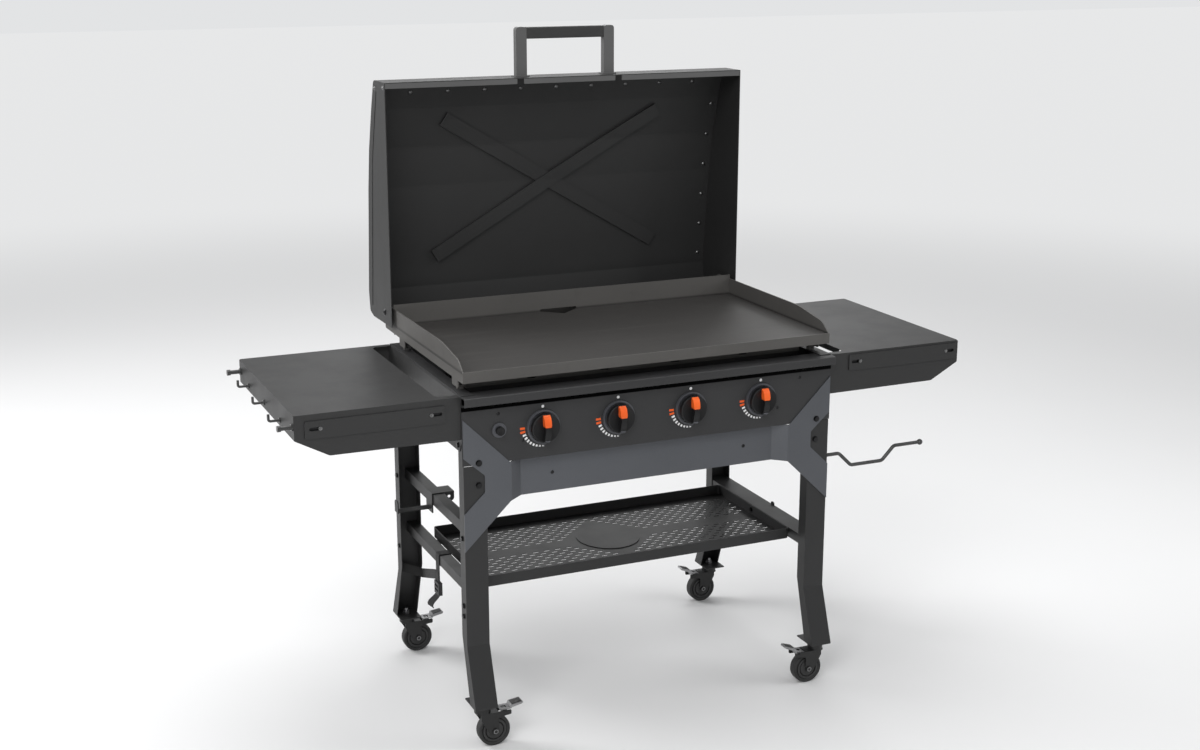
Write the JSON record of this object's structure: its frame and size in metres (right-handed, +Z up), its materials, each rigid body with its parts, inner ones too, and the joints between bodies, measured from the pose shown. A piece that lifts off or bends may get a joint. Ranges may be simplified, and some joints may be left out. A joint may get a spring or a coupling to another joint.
{
  "type": "outdoor gas griddle station",
  "caption": "Outdoor gas griddle station: steel cook plate on a wheeled leg frame with a control panel, tilting hood, side shelves and a lower tray.",
  "frame": {"origin": "on the floor, midway between the front and rear legs and on the left-right centre plane", "axes": "+X to the user's right when facing the controls, +Y to the rear, +Z up; the hood stands open at rest"},
  "size_m": [1.736, 0.7428, 1.612],
  "materials": {
    "frame_black": "satin powder coat",
    "apron_slate": "satin powder coat",
    "body_black": "fine textured powder coat",
    "hood_black": "fine textured powder coat",
    "griddle_steel": "seasoned rolled steel",
    "burner_steel": "plain",
    "brass_parts": "plain",
    "bezel_plastic": "satin",
    "knob_plastic": "satin",
    "stem_steel": "plain",
    "rod_black": "gloss coat",
    "handle_black": "satin powder coat",
    "strap_web": "webbing",
    "fork_steel": "satin",
    "wheel_rubber": "matte"
  },
  "bodies": {
    "stand": {"leg_front_left": "frame_black", "leg_front_right": "frame_black", "leg_rear_left": "frame_black", "leg_rear_right": "frame_black", "rail_left_lower": "frame_black", "rail_left_upper": "frame_black", "rail_right_lower": "frame_black", "bottom_shelf": "frame_black", "front_apron": "apron_slate", "firebox": "body_black", "control_panel": "body_black", "burners": "burner_steel", "gas_manifold": "brass_parts", "valve_bodies": "brass_parts", "panel_bezels": "bezel_plastic", "shelf_top_left": "body_black", "shelf_top_right": "body_black", "shelf_frame_left": "body_black", "shelf_frame_right": "body_black", "shelf_strips": "body_black", "shelf_hooks": "rod_black", "paper_towel_rod": "rod_black", "tank_bracket": "frame_black", "tank_strap": "strap_web", "strap_fittings": "knob_plastic", "grease_cup_bracket": "frame_black", "caster_mounts": "frame_black", "fasteners": "rod_black"},
    "griddle": {"griddle_plate": "griddle_steel", "griddle_feet": "griddle_steel"},
    "hood": {"hood_shell": "hood_black", "hood_sides": "hood_black", "hood_pins": "stem_steel", "hood_lip": "hood_black", "hood_brace": "hood_black", "hood_rivets": "hood_black", "handle_posts": "handle_black", "handle_grip": "handle_black"},
    "grease_cup": {"grease_cup": "burner_steel"},
    "igniter": {"igniter_button": "knob_plastic"},
    "knob_push_1": {"valve_stem_1": "stem_steel"},
    "knob_1": {"knob_1": "knob_plastic"},
    "knob_push_2": {"valve_stem_2": "stem_steel"},
    "knob_2": {"knob_2": "knob_plastic"},
    "knob_push_3": {"valve_stem_3": "stem_steel"},
    "knob_3": {"knob_3": "knob_plastic"},
    "knob_push_4": {"valve_stem_4": "stem_steel"},
    "knob_4": {"knob_4": "knob_plastic"},
    "caster_swivel_1": {"caster_fork_1": "fork_steel"},
    "caster_roll_1": {"caster_wheel_1": "wheel_rubber"},
    "caster_brake_1": {"caster_pedal_1": "fork_steel"},
    "caster_swivel_2": {"caster_fork_2": "fork_steel"},
    "caster_roll_2": {"caster_wheel_2": "wheel_rubber"},
    "caster_brake_2": {"caster_pedal_2": "fork_steel"},
    "caster_swivel_3": {"caster_fork_3": "fork_steel"},
    "caster_roll_3": {"caster_wheel_3": "wheel_rubber"},
    "caster_brake_3": {"caster_pedal_3": "fork_steel"},
    "caster_swivel_4": {"caster_fork_4": "fork_steel"},
    "caster_roll_4": {"caster_wheel_4": "wheel_rubber"},
    "caster_brake_4": {"caster_pedal_4": "fork_steel"}
  },
  "joints": [
    {"name": "griddle_lift", "type": "slide", "parent": "stand", "child": "griddle", "axis": [0, 0, 1], "range_m": [0, 0.06]},
    {"name": "hood_hinge", "type": "hinge", "parent": "griddle", "child": "hood", "pos_m": [0, 0.286, 0.922], "axis": [1, 0, 0], "range_deg": [0, 90]},
    {"name": "grease_cup_slide", "type": "slide", "parent": "stand", "child": "grease_cup", "axis": [0, 1, 0], "range_m": [0, 0.08]},
    {"name": "igniter_push", "type": "slide", "parent": "stand", "child": "igniter", "axis": [0, 1, 0], "range_m": [0, 0.004], "stiffness_N_per_m": 300},
    {"name": "knob_push_1", "type": "slide", "parent": "stand", "child": "knob_push_1", "axis": [0, 1, 0], "range_m": [0, 0.003], "stiffness_N_per_m": 400},
    {"name": "knob_turn_1", "type": "hinge", "parent": "knob_push_1", "child": "knob_1", "pos_m": [-0.28125, -0.272, 0.753], "axis": [0, -1, 0], "range_deg": [0, 180]},
    {"name": "knob_push_2", "type": "slide", "parent": "stand", "child": "knob_push_2", "axis": [0, 1, 0], "range_m": [0, 0.003], "stiffness_N_per_m": 400},
    {"name": "knob_turn_2", "type": "hinge", "parent": "knob_push_2", "child": "knob_2", "pos_m": [-0.09375, -0.272, 0.753], "axis": [0, -1, 0], "range_deg": [0, 180]},
    {"name": "knob_push_3", "type": "slide", "parent": "stand", "child": "knob_push_3", "axis": [0, 1, 0], "range_m": [0, 0.003], "stiffness_N_per_m": 400},
    {"name": "knob_turn_3", "type": "hinge", "parent": "knob_push_3", "child": "knob_3", "pos_m": [0.09375, -0.272, 0.753], "axis": [0, -1, 0], "range_deg": [0, 180]},
    {"name": "knob_push_4", "type": "slide", "parent": "stand", "child": "knob_push_4", "axis": [0, 1, 0], "range_m": [0, 0.003], "stiffness_N_per_m": 400},
    {"name": "knob_turn_4", "type": "hinge", "parent": "knob_push_4", "child": "knob_4", "pos_m": [0.28125, -0.272, 0.753], "axis": [0, -1, 0], "range_deg": [0, 180]},
    {"name": "caster_swivel_1", "type": "hinge", "parent": "stand", "child": "caster_swivel_1", "pos_m": [-0.447, -0.288, 0.095], "axis": [0, 0, 1], "continuous": true},
    {"name": "caster_roll_1", "type": "hinge", "parent": "caster_swivel_1", "child": "caster_roll_1", "pos_m": [-0.421, -0.288, 0.0385], "axis": [0, 1, 0], "continuous": true},
    {"name": "caster_brake_1", "type": "hinge", "parent": "caster_swivel_1", "child": "caster_brake_1", "pos_m": [-0.394, -0.288, 0.082], "axis": [0, 1, 0], "range_deg": [-12, 0]},
    {"name": "caster_swivel_2", "type": "hinge", "parent": "stand", "child": "caster_swivel_2", "pos_m": [0.447, -0.288, 0.095], "axis": [0, 0, 1], "continuous": true},
    {"name": "caster_roll_2", "type": "hinge", "parent": "caster_swivel_2", "child": "caster_roll_2", "pos_m": [0.421, -0.288, 0.0385], "axis": [0, 1, 0], "continuous": true},
    {"name": "caster_brake_2", "type": "hinge", "parent": "caster_swivel_2", "child": "caster_brake_2", "pos_m": [0.394, -0.288, 0.082], "axis": [0, -1, 0], "range_deg": [0, 12]},
    {"name": "caster_swivel_3", "type": "hinge", "parent": "stand", "child": "caster_swivel_3", "pos_m": [-0.447, 0.294, 0.095], "axis": [0, 0, 1], "continuous": true},
    {"name": "caster_roll_3", "type": "hinge", "parent": "caster_swivel_3", "child": "caster_roll_3", "pos_m": [-0.421, 0.294, 0.0385], "axis": [0, 1, 0], "continuous": true},
    {"name": "caster_brake_3", "type": "hinge", "parent": "caster_swivel_3", "child": "caster_brake_3", "pos_m": [-0.394, 0.294, 0.082], "axis": [0, 1, 0], "range_deg": [-12, 0]},
    {"name": "caster_swivel_4", "type": "hinge", "parent": "stand", "child": "caster_swivel_4", "pos_m": [0.447, 0.294, 0.095], "axis": [0, 0, 1], "continuous": true},
    {"name": "caster_roll_4", "type": "hinge", "parent": "caster_swivel_4", "child": "caster_roll_4", "pos_m": [0.421, 0.294, 0.0385], "axis": [0, 1, 0], "continuous": true},
    {"name": "caster_brake_4", "type": "hinge", "parent": "caster_swivel_4", "child": "caster_brake_4", "pos_m": [0.394, 0.294, 0.082], "axis": [0, -1, 0], "range_deg": [0, 12]}
  ]
}
